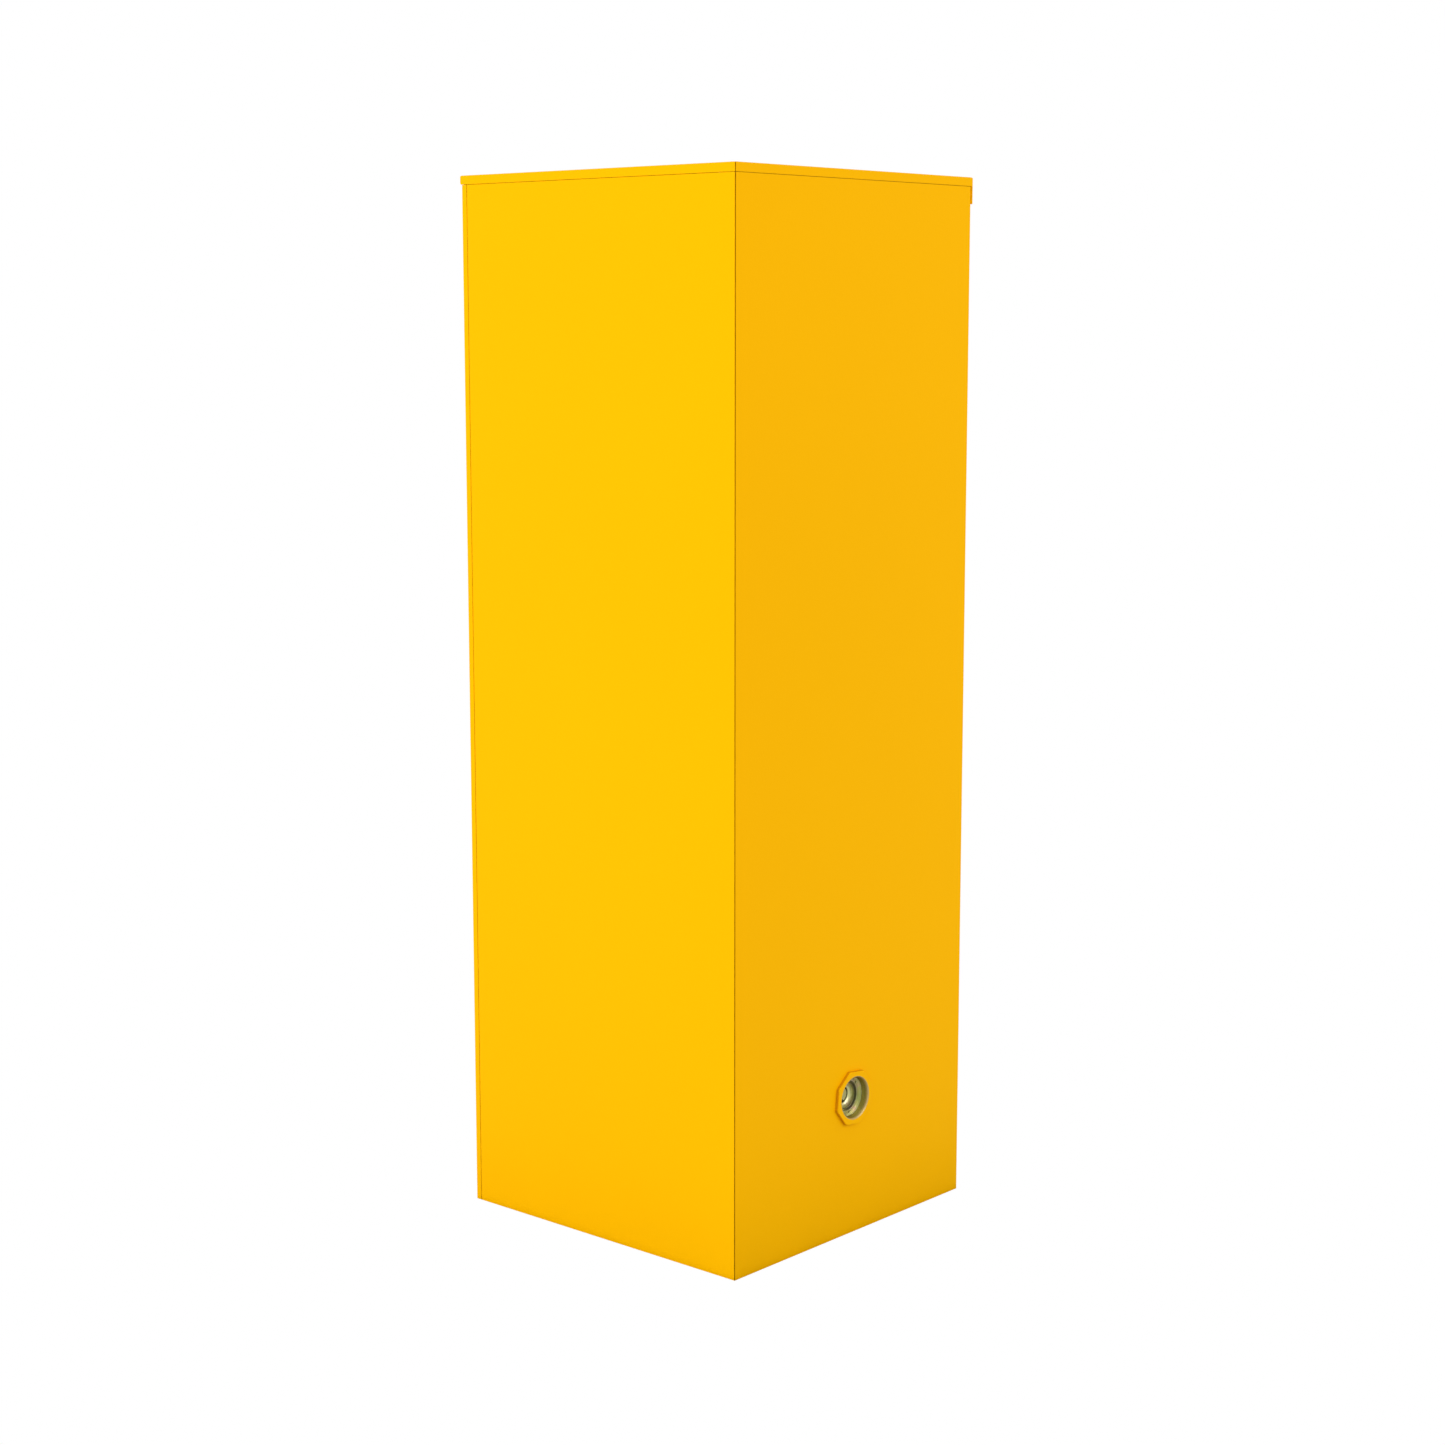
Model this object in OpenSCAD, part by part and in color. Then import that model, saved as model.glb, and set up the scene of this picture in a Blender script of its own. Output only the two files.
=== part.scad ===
// Retractable bollard: a square yellow post on a gas spring in a casing sunk in the ground.
// Ground level is z = 0, the post stands along +Z on the casing's axis, and its lock faces -Y.
// The post is drawn raised, with its lock bolt drawn back.

/* [Post] */
// Width of the square post over its plates
post_w = 205; // [180:1:260]
// Height of the raised post above the ground
post_h = 600; // [450:5:800]
// Length of the raised post that stays in the casing
engaged = 120; // [118:1:200]
// Thickness of the post's plates
plate_t = 4; // [3:0.5:6]
// Outside radius of the folded corner
fold_r = 1.5; // [1:0.5:3]
// Width of the open mitre between the front and left plates
mitre_gap = 0.3; // [0.2:0.1:1.5]
// Width of the other seams between plates
seam_gap = 0.4; // [0.2:0.1:0.8]
// Width of the seam under the lid
lid_gap = 0.2; // [0.2:0.1:0.8]
// Chamfer along the outer edges of plates
edge_break = 0.5; // [0.2:0.1:1]
// Leg of the angle bars inside the post's corners
angle_leg = 25; // [15:1:40]
// Thickness of the angle bars
angle_t = 3; // [2:0.5:5]
// Thickness of the ring under the post's plates
foot_t = 16; // [12:1:30]
// How far the foot ring stands out past the post
foot_lip = 6; // [5:0.5:8]
// Width of the foot ring from its outer edge inwards
foot_band = 16; // [12:1:30]

/* [Lid] */
// Thickness of the lid
lid_t = 5; // [4:0.5:8]
// How far the lid reaches past the back plate
lid_overhang = 1; // [0.5:0.1:2]
// Height of the lip turned down on the right side
lip_drop = 15; // [8:1:25]
// Thickness of that lip
lip_t = 0.9; // [0.6:0.1:1.2]
// Side of the corner tabs that carry the lid
tab_w = 42; // [36:1:50]
// Thickness of the corner tabs
tab_t = 5; // [4:0.5:8]
// Distance of the lid screws from the inside of the plates
lid_screw_inset = 20; // [16:1:24]
// Thread diameter of the lid screws
lid_screw_d = 8; // [6:1:10]

/* [Lifting handle] */
// Inside length of the handle pan
pan_l = 100; // [80:1:120]
// Inside width of the handle pan
pan_w = 44; // [38:1:60]
// Depth of the handle pan below the lid's top
pan_depth = 20; // [18:1:21]
// Sheet thickness of the pan
pan_t = 2; // [1.5:0.5:3]
// Diameter of the handle's bar
bail_d = 8; // [6:0.5:10]
// Length of the handle's legs
bail_reach = 26; // [20:1:28]

/* [Casing] */
// Space between the post and the casing wall
casing_gap = 10; // [9:0.5:14]
// Thickness of the casing wall
casing_t = 4; // [3:0.5:6]
// Width of the square ground frame
frame_w = 320; // [310:5:420]
// Thickness of the ground frame
frame_t = 10; // [9:1:16]
// Distance between the anchor holes of the ground frame
anchor_pitch = 284; // [276:1:300]
// Diameter of the anchor holes
anchor_d = 14; // [11:1:16]
// Thickness of the collar plate in the ground frame
collar_t = 6; // [5:0.5:7]
// Width of the ledge that carries the collar plate
ledge_w = 13.5; // [11:0.5:18]
// Space between the collar plate and the post
collar_gap = 3.3; // [3:0.1:5]
// Thickness of the base plate
base_t = 8; // [6:1:15]
// How far the base plate reaches past the casing
base_lip = 13.5; // [5:0.5:20]
// Outside diameter of the drain spigot
drain_d = 50; // [40:1:60]
// Wall of the drain spigot
drain_t = 3; // [2:0.5:5]
// Length of the drain spigot outside the casing
drain_l = 30; // [20:1:40]

/* [Guides and stops] */
// Width of the guide strips, shoes and stop blocks
guide_w = 40; // [30:1:50]
// Distance of the guides from the middle of each side
guide_x = 60; // [50:1:65]
// Running clearance of the guides
guide_play = 0.3; // [0.3:0.1:0.8]
// Height of the stop blocks
stop_h = 20; // [12:1:30]
// Thickness of the rubber pads under the stop blocks
stop_pad_t = 4; // [3:0.5:6]
// Free play at the top and bottom stops
stop_gap = 0.3; // [0.3:0.1:1]
// Height of the rubber buffers on the base
buffer_h = 29.7; // [25:0.1:45]
// Diameter of the rubber buffers
buffer_d = 24; // [16:1:26]

/* [Gas spring] */
// Outside diameter of the cylinder
cyl_d = 40; // [34:1:50]
// Wall of the cylinder
cyl_t = 2; // [1.5:0.5:4]
// Diameter of the piston rod
rod_d = 14; // [10:1:18]
// Diameter of the pins at both ends
pin_d = 10; // [8:1:12]
// Outside diameter of the eyes
eye_d = 24; // [20:1:26]
// Thickness of the eyes
eye_t = 20; // [14:1:24]

/* [Lock] */
// Height of the lock above the ground
lock_z = 80.5; // [70:0.5:100]
// Width across flats of the octagonal lock collar
octagon_w = 30.5; // [26.5:0.5:34]
// Turn of the octagon from upright
octagon_turn = 6; // [0:1:22]
// How far the lock collar stands out of the post
collar_proud = 2; // [1:0.5:2.5]
// Diameter of the hole in the lock collar
socket_d = 23.5; // [22:0.5:24]
// Diameter of the key plug
plug_d = 16; // [14:0.5:16]
// Radius of the crank that drives the bolt bar
crank_r = 15; // [14:0.5:16]
// Diameter of the crank pin and of the bolt's cross pin
drive_pin_d = 6; // [5:0.5:6]
// Diameter of the lock bolt
bolt_d = 20; // [16:1:22]
// Height of the lock bolt, below the ground
bolt_z = -50; // [-56:1:-46]

/* [Hidden] */
$fn = 48;

// Clearances
slip = 0.05;         // radial, of running and locating fits
screw_play = 0.1;    // radial, round screws
bar_play = 0.2;      // round the bolt bar in its guides
eps = 1;             // how far a cut runs past a face

// Post
post_a = post_w / 2;
inner_a = post_a - plate_t;
foot_a = post_a + foot_lip;
foot_z0 = -engaged;
foot_z1 = foot_z0 + foot_t;
lid_z0 = post_h - lid_t;
plates_z1 = lid_z0 - lid_gap;
plates_h = plates_z1 - foot_z1;
travel = lid_z0;     // the lid's underside comes down to ground level
mitre_cut = mitre_gap / sqrt(2);

// Lid
lid_back = post_a + lid_overhang;
lip_x = post_a + 0.1;
lid_right = lip_x + lip_t;
lid_screw_l = lid_t + tab_t + 6;
lid_key_w = 5.2;

// Casing
casing_a = post_a + casing_gap;
casing_out = casing_a + casing_t;
base_z1 = foot_z0 - travel - stop_gap - buffer_h;
base_z0 = base_z1 - base_t;
recess_a = casing_a + ledge_w;
collar_a = recess_a - 1;
collar_hole_a = post_a + collar_gap;
collar_screw_d = 5;
collar_screw_l = frame_t - 0.5;
collar_key_w = 3.4;
wiper_t = 4;
wiper_gap = 1.5;
wiper_notch_w = octagon_w + 9;
wiper_notch_wall = 4;
base_a = casing_out + base_lip;
lug_h = 70;
lug_w = 40;
lug_t = 5;
lug_reach = 30;
lug_places = [base_z1 / 3, base_z1 * 0.72];
drain_z = base_z1 + drain_d / 2 + 20;
drain_bore_d = drain_d - 2 * drain_t;

// Stops and guides
pad_z0 = foot_z1 + stop_gap;
stop_z0 = pad_z0 + stop_pad_t;
stop_z1 = stop_z0 + stop_h;
guide_z0 = stop_z1 + 2;
guide_z1 = -frame_t - 8;
guide_t = casing_gap - guide_play;
guide_screw_d = 6;
guide_screw_l = casing_t + 6;
guide_screw_head_w = 11;
guide_screw_head_h = 4;
guide_screw_rows = [guide_z0 + 10, guide_z1 - 10];
stop_x0 = post_a + 0.8;

// Gas spring
eye_r = eye_d / 2;
eye_neck = 2;
lower_eye_z = base_z1 + eye_r + 3;
cyl_z0 = lower_eye_z + eye_r + eye_neck;
cyl_floor = 6;
piston_h = 16;
piston_margin = 3;
gland_h = 18;
gland_cap = 3;
piston_z0 = cyl_z0 + cyl_floor + piston_margin + travel;
gland_z0 = piston_z0 + piston_h + piston_margin;
cyl_z1 = gland_z0 + gland_h;
rod_reserve = 17;
rod_z1 = cyl_z1 + gland_cap + rod_reserve + travel;
upper_eye_z = rod_z1 + eye_r + eye_neck;
ear_t = 4;
ear_y = eye_t / 2 + 3;
beam_z1 = upper_eye_z + eye_r + 4;
pin_head_d = pin_d + 6;
pin_head_h = 4;
clip_d = pin_d + 5;
clip_t = 1.5;

// Lock
octagon_r = octagon_w / 2 / cos(180 / 8);
socket_r = socket_d / 2;
neck_r = octagon_w / 2 - 0.8;
neck_l = 22;
thread_pitch = 1;
thread_depth = 0.35;
ring_d0 = 4.7;       // depths below the collar's face
ring_face = 6;
ring_d1 = 8.5;
plug_front = 6.8;
bowl_floor = 10;
barrel_d1 = 30;
plug_r = plug_d / 2;
plug_gap = 0.9;
centre_post_d = 7.7;
keyway_w = 1.1;
crank_t = 6;
crank_gap = 1;
crank_arm_w = 9;
tail_d = 10;
nut_t = 6;
bar_t = 5;
bar_w = 18;
bar_x0 = 4;
bar_y0 = -post_a - collar_proud + barrel_d1 + crank_gap + crank_t + 1.5;
slot_play = 0.5;
bar_drop = 2 * crank_r * sin(45);
bar_rest_z = lock_z + crank_r * sin(45);
cam_t = 5;
cam_x0 = bar_x0 + bar_w - cam_t - 1;
bolt_tip = -post_a + 1.5;
bolt_l = 46;
bolt_tail = bolt_tip + bolt_l;
bolt_pin_y = bolt_tail - 7;
bolt_guide_a = bolt_d / 2 + 5;
bolt_guide_y1 = bolt_pin_y - bar_drop - drive_pin_d / 2 - 0.8;
keeper_t = casing_gap - collar_proud - 1;
keeper_w = 50;
keeper_box_d = 12;
keeper_box_t = 3;

// Handle
pan_a = pan_l / 2;
pan_b = pan_w / 2;
bail_r = bail_d / 2;
bail_z = post_h - bail_r - 6;
bail_y = pan_b - bail_r - 4;
bail_x = pan_a - bail_r - 1;

YELLOW = "#f8bb05";
ZINC = "#b9bcbb";
GOLD = "#a59a5c";
STEEL = "#8d9093";
NYLON = "#e8e6da";
RUBBER = "#202122";

// A square ring with its inner and outer half widths
module square_ring(outer, inner, h) {
    difference() {
        translate([-outer, -outer, 0]) cube([2 * outer, 2 * outer, h]);
        translate([-inner, -inner, -eps]) cube([2 * inner, 2 * inner, h + 2 * eps]);
    }
}

// Puts its children on all four sides, drawn on the +X side
module four_sides() {
    for (turn = [0:90:270]) rotate(turn) children();
}

// Puts its children at both guide places of all four sides, drawn on the +X side
module guide_places() {
    four_sides() for (y = [-guide_x, guide_x]) translate([0, y, 0]) children();
}

// Puts its children at the four corners of a square
module corners(half) {
    for (x = [-half, half], y = [-half, half]) translate([x, y, 0]) children();
}

// A straight slot with round ends, from one centre to another along X
module slot_x(l, d, h) {
    cylinder(d = d, h = h);
    translate([l, 0, 0]) cylinder(d = d, h = h);
    translate([0, -d / 2, 0]) cube([l, d, h]);
}

// A countersunk screw with its head's top at the origin
module countersunk(d, l, play = 0) {
    head_h = d * 0.5;
    translate([0, 0, -head_h]) cylinder(d1 = d + 2 * play, d2 = 2 * d + 2 * play, h = head_h);
    translate([0, 0, -l]) cylinder(d = d + 2 * play, h = l);
}

// Sets the lock's own axis: depth behind the collar's face is +Z, and +X stays +X
module at_lock() {
    translate([0, -post_a - collar_proud, lock_z]) rotate([-90, 0, 0]) children();
}

// Sets an axis that runs along +Y from the given y at the bolt's height
module at_bolt(y, z = bolt_z) {
    translate([0, y, z]) rotate([-90, 0, 0]) children();
}

// ---- Casing ----

module ground_frame() color(ZINC) {
    difference() {
        translate([0, 0, -frame_t]) square_ring(frame_w / 2, casing_a, frame_t);
        translate([-recess_a, -recess_a, -collar_t]) cube([2 * recess_a, 2 * recess_a, frame_t]);
        translate([0, 0, -frame_t - eps]) corners(anchor_pitch / 2)
            cylinder(d = anchor_d, h = frame_t + 2 * eps);
        collar_screw_places() countersunk(collar_screw_d, collar_screw_l, screw_play);
    }
}

module collar_screw_places() {
    four_sides() for (y = [-post_w / 3, post_w / 3])
        translate([(casing_a + collar_a) / 2, y, 0]) children();
}

module collar_plate() color(ZINC) {
    difference() {
        translate([0, 0, -collar_t]) square_ring(collar_a, collar_hole_a, collar_t);
        collar_screw_places() countersunk(collar_screw_d, collar_screw_l, screw_play);
    }
}

module collar_screws() color(STEEL) {
    collar_screw_places() difference() {
        countersunk(collar_screw_d, collar_screw_l);
        translate([0, 0, -1.6]) cylinder(d = collar_key_w, h = 2, $fn = 6);
    }
}

module wiper_seal() color(RUBBER) {
    translate([0, 0, -collar_t - wiper_t]) difference() {
        square_ring(casing_a - 0.2, post_a + wiper_gap, wiper_t);
        translate([-wiper_notch_w / 2, -casing_a + wiper_notch_wall, -eps])
            cube([wiper_notch_w, casing_gap, wiper_t + 2 * eps]);
    }
}

module casing_shell() color(ZINC) {
    difference() {
        translate([0, 0, base_z1]) square_ring(casing_out, casing_a, -frame_t - base_z1);
        for (z = [bolt_z, bolt_z - travel])
            at_bolt(-casing_out - eps, z) cylinder(d = bolt_d + 2, h = casing_t + 2 * eps);
        drain_place(-casing_t - eps) cylinder(d = drain_bore_d, h = casing_t + 2 * eps);
        guide_screw_places() rotate([0, -90, 0])
            cylinder(d = guide_screw_d + 2 * screw_play, h = casing_t + eps);
    }
}

module base_plate() color(ZINC) {
    translate([-base_a, -base_a, base_z0]) cube([2 * base_a, 2 * base_a, base_t]);
}

module anchor_lugs() color(ZINC) {
    for (z = lug_places, turn = [0, 180])
        rotate(turn) translate([casing_out, 0, z]) {
            translate([0, -lug_t / 2, 0]) cube([lug_reach, lug_t, lug_h]);
            translate([lug_reach, -lug_w / 2, 0]) cube([lug_t, lug_w, lug_h]);
        }
}

// Sets the drain's axis along +Y, from the casing's outside
module drain_place(forward = 0) {
    translate([0, casing_out + forward, drain_z]) rotate([-90, 0, 0]) children();
}

module drain_spigot() color(ZINC) {
    drain_place() difference() {
        cylinder(d = drain_d, h = drain_l);
        translate([0, 0, -eps]) cylinder(d = drain_bore_d, h = drain_l + 2 * eps);
    }
}

// Both screws of every guide strip, with their heads' undersides at the origin
module guide_screw_places() {
    guide_places() for (z = guide_screw_rows) translate([casing_out, 0, z]) children();
}

module guide_strips() color(NYLON) {
    difference() {
        guide_places() translate([post_a + guide_play, -guide_w / 2, guide_z0])
            cube([guide_t, guide_w, guide_z1 - guide_z0]);
        guide_screw_places() rotate([0, -90, 0])
            cylinder(d = guide_screw_d + 2 * screw_play, h = guide_screw_l + 0.5);
    }
}

module guide_screws() color(STEEL) {
    guide_screw_places() {
        rotate([0, 90, 0]) cylinder(d = guide_screw_head_w, h = guide_screw_head_h, $fn = 6);
        rotate([0, -90, 0]) cylinder(d = guide_screw_d, h = guide_screw_l);
    }
}

module stop_blocks() color(STEEL) {
    guide_places() translate([stop_x0, -guide_w / 2, stop_z0])
        cube([casing_a - stop_x0, guide_w, stop_h]);
}

module stop_pads() color(RUBBER) {
    guide_places() translate([stop_x0, -guide_w / 2, pad_z0])
        cube([casing_a - stop_x0, guide_w, stop_pad_t]);
}

module upper_keeper() color(STEEL) {
    difference() {
        translate([-keeper_w / 2, -casing_a, bolt_z - keeper_w / 2]) cube([keeper_w, keeper_t, keeper_w]);
        at_bolt(-casing_a - eps) cylinder(d = bolt_d + 1, h = keeper_t + 2 * eps);
    }
}

module keeper_boxes() color(ZINC) {
    for (z = [bolt_z, bolt_z - travel]) difference() {
        translate([-keeper_w / 2, -casing_out - keeper_box_d, z - keeper_w / 2])
            cube([keeper_w, keeper_box_d, keeper_w]);
        translate([-keeper_w / 2 + keeper_box_t, -casing_out - keeper_box_d + keeper_box_t,
            z - keeper_w / 2 + keeper_box_t])
            cube([keeper_w - 2 * keeper_box_t, keeper_box_d, keeper_w - 2 * keeper_box_t]);
    }
}

module bottom_buffers() color(RUBBER) {
    translate([0, 0, base_z1]) corners(casing_a - 2.5 - buffer_d / 2) cylinder(d = buffer_d, h = buffer_h);
}

module pin_ears(z0, z1) {
    for (side = [-1, 1])
        translate([-eye_r - 4, side * (ear_y + ear_t / 2) - ear_t / 2, z0]) cube([eye_d + 8, ear_t, z1 - z0]);
}

module pin_hole(z, play = slip) {
    translate([0, -ear_y - ear_t - eps, z]) rotate([-90, 0, 0])
        cylinder(d = pin_d + 2 * play, h = 2 * (ear_y + ear_t + eps));
}

// A headed pin along +Y with a retaining clip at its far end
module clevis_pin(z) {
    span = ear_y + ear_t;
    translate([0, -span, z]) rotate([-90, 0, 0]) {
        translate([0, 0, -pin_head_h]) cylinder(d = pin_head_d, h = pin_head_h);
        cylinder(d = pin_d, h = 2 * span + pin_head_h);
        translate([0, 0, 2 * span + 0.3]) cylinder(d = clip_d, h = clip_t);
    }
}

module spring_foot() color(STEEL) {
    difference() {
        pin_ears(base_z1, lower_eye_z + eye_r + 2);
        pin_hole(lower_eye_z);
    }
}

module lower_pin() color(GOLD) clevis_pin(lower_eye_z);

// An eye with its pin along Y, and the neck that joins it to what is above or below
module spring_eye(z, neck_z) {
    difference() {
        union() {
            translate([0, -eye_t / 2, z]) rotate([-90, 0, 0]) cylinder(d = eye_d, h = eye_t);
            translate([0, 0, min(z, neck_z)]) cylinder(d = rod_d, h = abs(neck_z - z));
        }
        pin_hole(z);
    }
}

module gas_cylinder() color(RUBBER) {
    difference() {
        translate([0, 0, cyl_z0]) cylinder(d = cyl_d, h = cyl_z1 - cyl_z0);
        translate([0, 0, cyl_z0 + cyl_floor]) cylinder(d = cyl_d - 2 * cyl_t, h = cyl_z1 - cyl_z0);
    }
    spring_eye(lower_eye_z, cyl_z0);
}

module cylinder_gland() color(STEEL) {
    difference() {
        union() {
            translate([0, 0, gland_z0]) cylinder(d = cyl_d - 2 * cyl_t - 2 * slip, h = gland_h);
            translate([0, 0, cyl_z1]) cylinder(d = cyl_d, h = gland_cap);
        }
        translate([0, 0, gland_z0 - eps]) cylinder(d = rod_d + 2 * slip, h = gland_h + gland_cap + 2 * eps);
    }
}

// ---- Post ----

// Front and right sides in one folded sheet, mitred where it meets the left plate
module front_shell() color(YELLOW) {
    difference() {
        translate([0, 0, foot_z1]) linear_extrude(plates_h) difference() {
            union() {
                polygon([[-post_a + mitre_cut, -post_a], [post_a, -post_a],
                    [post_a, -inner_a], [-inner_a + mitre_cut, -inner_a]]);
                translate([inner_a, -post_a]) square([plate_t, post_a + inner_a - seam_gap]);
            }
            translate([post_a - fold_r, -post_a + fold_r]) difference() {
                translate([0, -fold_r - eps]) square(fold_r + eps);
                circle(fold_r);
            }
        }
        at_lock() cylinder(r = neck_r + screw_play, h = collar_proud + plate_t + eps);
        at_bolt(-post_a - eps) cylinder(d = bolt_d + 0.6, h = plate_t + 2 * eps);
    }
}

module left_plate() color(YELLOW) {
    translate([0, 0, foot_z1]) linear_extrude(plates_h)
        polygon([[-post_a, -post_a + mitre_cut], [-inner_a, -inner_a + mitre_cut],
            [-inner_a, inner_a - seam_gap], [-post_a, inner_a - seam_gap]]);
}

module back_plate() color(YELLOW) {
    translate([0, 0, foot_z1]) linear_extrude(plates_h)
        polygon([[-post_a, inner_a], [post_a, inner_a], [post_a, post_a - edge_break],
            [post_a - edge_break, post_a], [-post_a + edge_break, post_a], [-post_a, post_a - edge_break]]);
}

module corner_angles() color(STEEL) {
    four_sides() translate([inner_a, inner_a, foot_z1]) mirror([1, 0, 0]) mirror([0, 1, 0]) {
        cube([angle_leg, angle_t, lid_z0 - tab_t - foot_z1]);
        cube([angle_t, angle_leg, lid_z0 - tab_t - foot_z1]);
    }
}

module foot_ring() color(STEEL) {
    translate([0, 0, foot_z0]) square_ring(foot_a, foot_a - foot_band, foot_t);
}

module foot_shoes() color(NYLON) {
    guide_places() translate([foot_a, -guide_w / 2, foot_z0])
        cube([casing_a - guide_play - foot_a, guide_w, foot_t]);
}

module lid_screw_places() {
    translate([0, 0, post_h]) corners(inner_a - lid_screw_inset) children();
}

module lid() color(YELLOW) {
    difference() {
        union() {
            translate([-post_a, -post_a, lid_z0]) cube([post_w, post_w + lid_overhang, lid_t]);
            translate([lip_x, -post_a, post_h - lip_drop]) cube([lip_t, post_w + lid_overhang, lip_drop]);
            translate([post_a - eps, -post_a, lid_z0])
                cube([lid_right - post_a + eps, post_w + lid_overhang, lid_t]);
        }
        rotate(-135) translate([post_a * sqrt(2) - 3, -mitre_gap / 2, lid_z0 - eps])
            cube([6, mitre_gap, lid_t + 2 * eps]);
        for (edge = [[-90, post_a], [0, lid_right], [90, lid_back], [180, post_a]]) rotate(edge[0])
            translate([edge[1], -post_w, post_h - edge_break]) rotate([0, -45, 0])
                cube([3 * edge_break, 2 * post_w, 3 * edge_break]);
        translate([0, lid_back, lid_z0]) rotate([45, 0, 0])
            cube([2 * post_w + 20, 2 * edge_break, 2 * edge_break], center = true);
        pan_cut();
        lid_screw_places() countersunk(lid_screw_d, lid_screw_l, screw_play);
    }
}

module pan_cut() {
    translate([-pan_a - pan_t, -pan_b - pan_t, lid_z0 - eps])
        cube([2 * (pan_a + pan_t), 2 * (pan_b + pan_t), lid_t + 2 * eps]);
}

module lid_screws() color(ZINC) {
    lid_screw_places() difference() {
        countersunk(lid_screw_d, lid_screw_l);
        translate([0, 0, -2.6]) cylinder(d = lid_key_w, h = 3, $fn = 6);
    }
}

module lid_tabs() color(STEEL) {
    difference() {
        translate([-tab_w / 2, -tab_w / 2, lid_z0 - tab_t]) corners(inner_a - tab_w / 2)
            cube([tab_w, tab_w, tab_t]);
        lid_screw_places() countersunk(lid_screw_d, lid_screw_l + 1, screw_play);
    }
}

module handle_pan() color(YELLOW) {
    difference() {
        translate([-pan_a - pan_t, -pan_b - pan_t, post_h - pan_depth - pan_t])
            cube([2 * (pan_a + pan_t), 2 * (pan_b + pan_t), pan_depth + pan_t - edge_break]);
        translate([-pan_a, -pan_b, post_h - pan_depth]) cube([pan_l, pan_w, pan_depth + eps]);
        translate([-pan_a - pan_t - eps, bail_y, bail_z]) rotate([0, 90, 0])
            cylinder(d = bail_d + 2 * slip, h = 2 * (pan_a + pan_t + eps));
    }
}

module lifting_handle() color(ZINC) {
    translate([0, bail_y, bail_z]) {
        for (side = [-1, 1]) {
            translate([side * bail_x, 0, 0]) {
                rotate([90, 0, 0]) cylinder(d = bail_d, h = bail_reach);
                sphere(d = bail_d);
                translate([0, -bail_reach, 0]) sphere(d = bail_d);
                rotate([0, side * 90, 0]) cylinder(d = bail_d, h = pan_a + pan_t - bail_x);
            }
        }
        translate([-bail_x, -bail_reach, 0]) rotate([0, 90, 0]) cylinder(d = bail_d, h = 2 * bail_x);
    }
}

// ---- Gas spring's upper end ----

module spring_beam() color(STEEL) {
    difference() {
        union() {
            translate([-inner_a, -ear_y - ear_t, beam_z1 - ear_t]) cube([2 * inner_a, 2 * (ear_y + ear_t), ear_t]);
            for (y = [-ear_y - ear_t, ear_y])
                translate([-inner_a, y, upper_eye_z - eye_r - 2])
                    cube([2 * inner_a, ear_t, beam_z1 - upper_eye_z + eye_r + 2]);
        }
        pin_hole(upper_eye_z);
    }
}

module upper_pin() color(GOLD) clevis_pin(upper_eye_z);

module piston_rod() color("silver") {
    translate([0, 0, piston_z0 + piston_h]) cylinder(d = rod_d, h = rod_z1 - piston_z0 - piston_h);
    spring_eye(upper_eye_z, rod_z1);
}

module piston() color(STEEL) {
    translate([0, 0, piston_z0]) cylinder(d = cyl_d - 2 * cyl_t - 2 * slip, h = piston_h);
}

// ---- Lock ----

// Octagonal flange and threaded neck, with a bared rim round the socket
module lock_collar() color(YELLOW) {
    at_lock() difference() {
        union() {
            intersection() {
                rotate(180 / 8 + octagon_turn) cylinder(r = octagon_r, h = collar_proud, $fn = 8);
                cylinder(r1 = octagon_r - 0.7, r2 = octagon_r + 1.5, h = collar_proud);
            }
            cylinder(r = neck_r, h = neck_l);
        }
        rotate_extrude() polygon(concat([[0, -eps], [socket_r + 0.6 + eps, -eps], [socket_r, 0.6]],
            [for (i = [1:4]) each [[socket_r, i * thread_pitch - 0.3],
                [socket_r + thread_depth, i * thread_pitch], [socket_r, i * thread_pitch + 0.3]]],
            [[socket_r, neck_l + eps], [0, neck_l + eps]]));
    }
}

module lock_nut() color(GOLD) {
    at_lock() translate([0, 0, collar_proud + plate_t]) difference() {
        cylinder(d = octagon_w + 9, h = nut_t, $fn = 6);
        translate([0, 0, -eps]) cylinder(r = neck_r + slip, h = nut_t + 2 * eps);
    }
}

// Screwed ring that holds the barrel, with three spanner holes
module retaining_ring() color(GOLD) {
    at_lock() difference() {
        rotate_extrude() polygon([[plug_r + plug_gap, ring_face], [socket_r - 0.4, ring_face],
            [socket_r - 0.4, ring_d0], [socket_r - slip, ring_d0], [socket_r - slip, ring_d1],
            [plug_r + plug_gap, ring_d1]]);
        for (turn = [-40, 80, 200]) rotate(turn)
            translate([(plug_r + plug_gap + socket_r - 0.4) / 2, 0, ring_face - eps])
            cylinder(d = 1.5, h = 2 + eps, $fn = 16);
    }
}

module lock_barrel() color(GOLD) {
    at_lock() translate([0, 0, ring_d1]) difference() {
        cylinder(r = socket_r - slip, h = barrel_d1 - ring_d1);
        translate([0, 0, -eps]) cylinder(r = plug_r + slip, h = barrel_d1 - ring_d1 + 2 * eps);
    }
}

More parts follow.
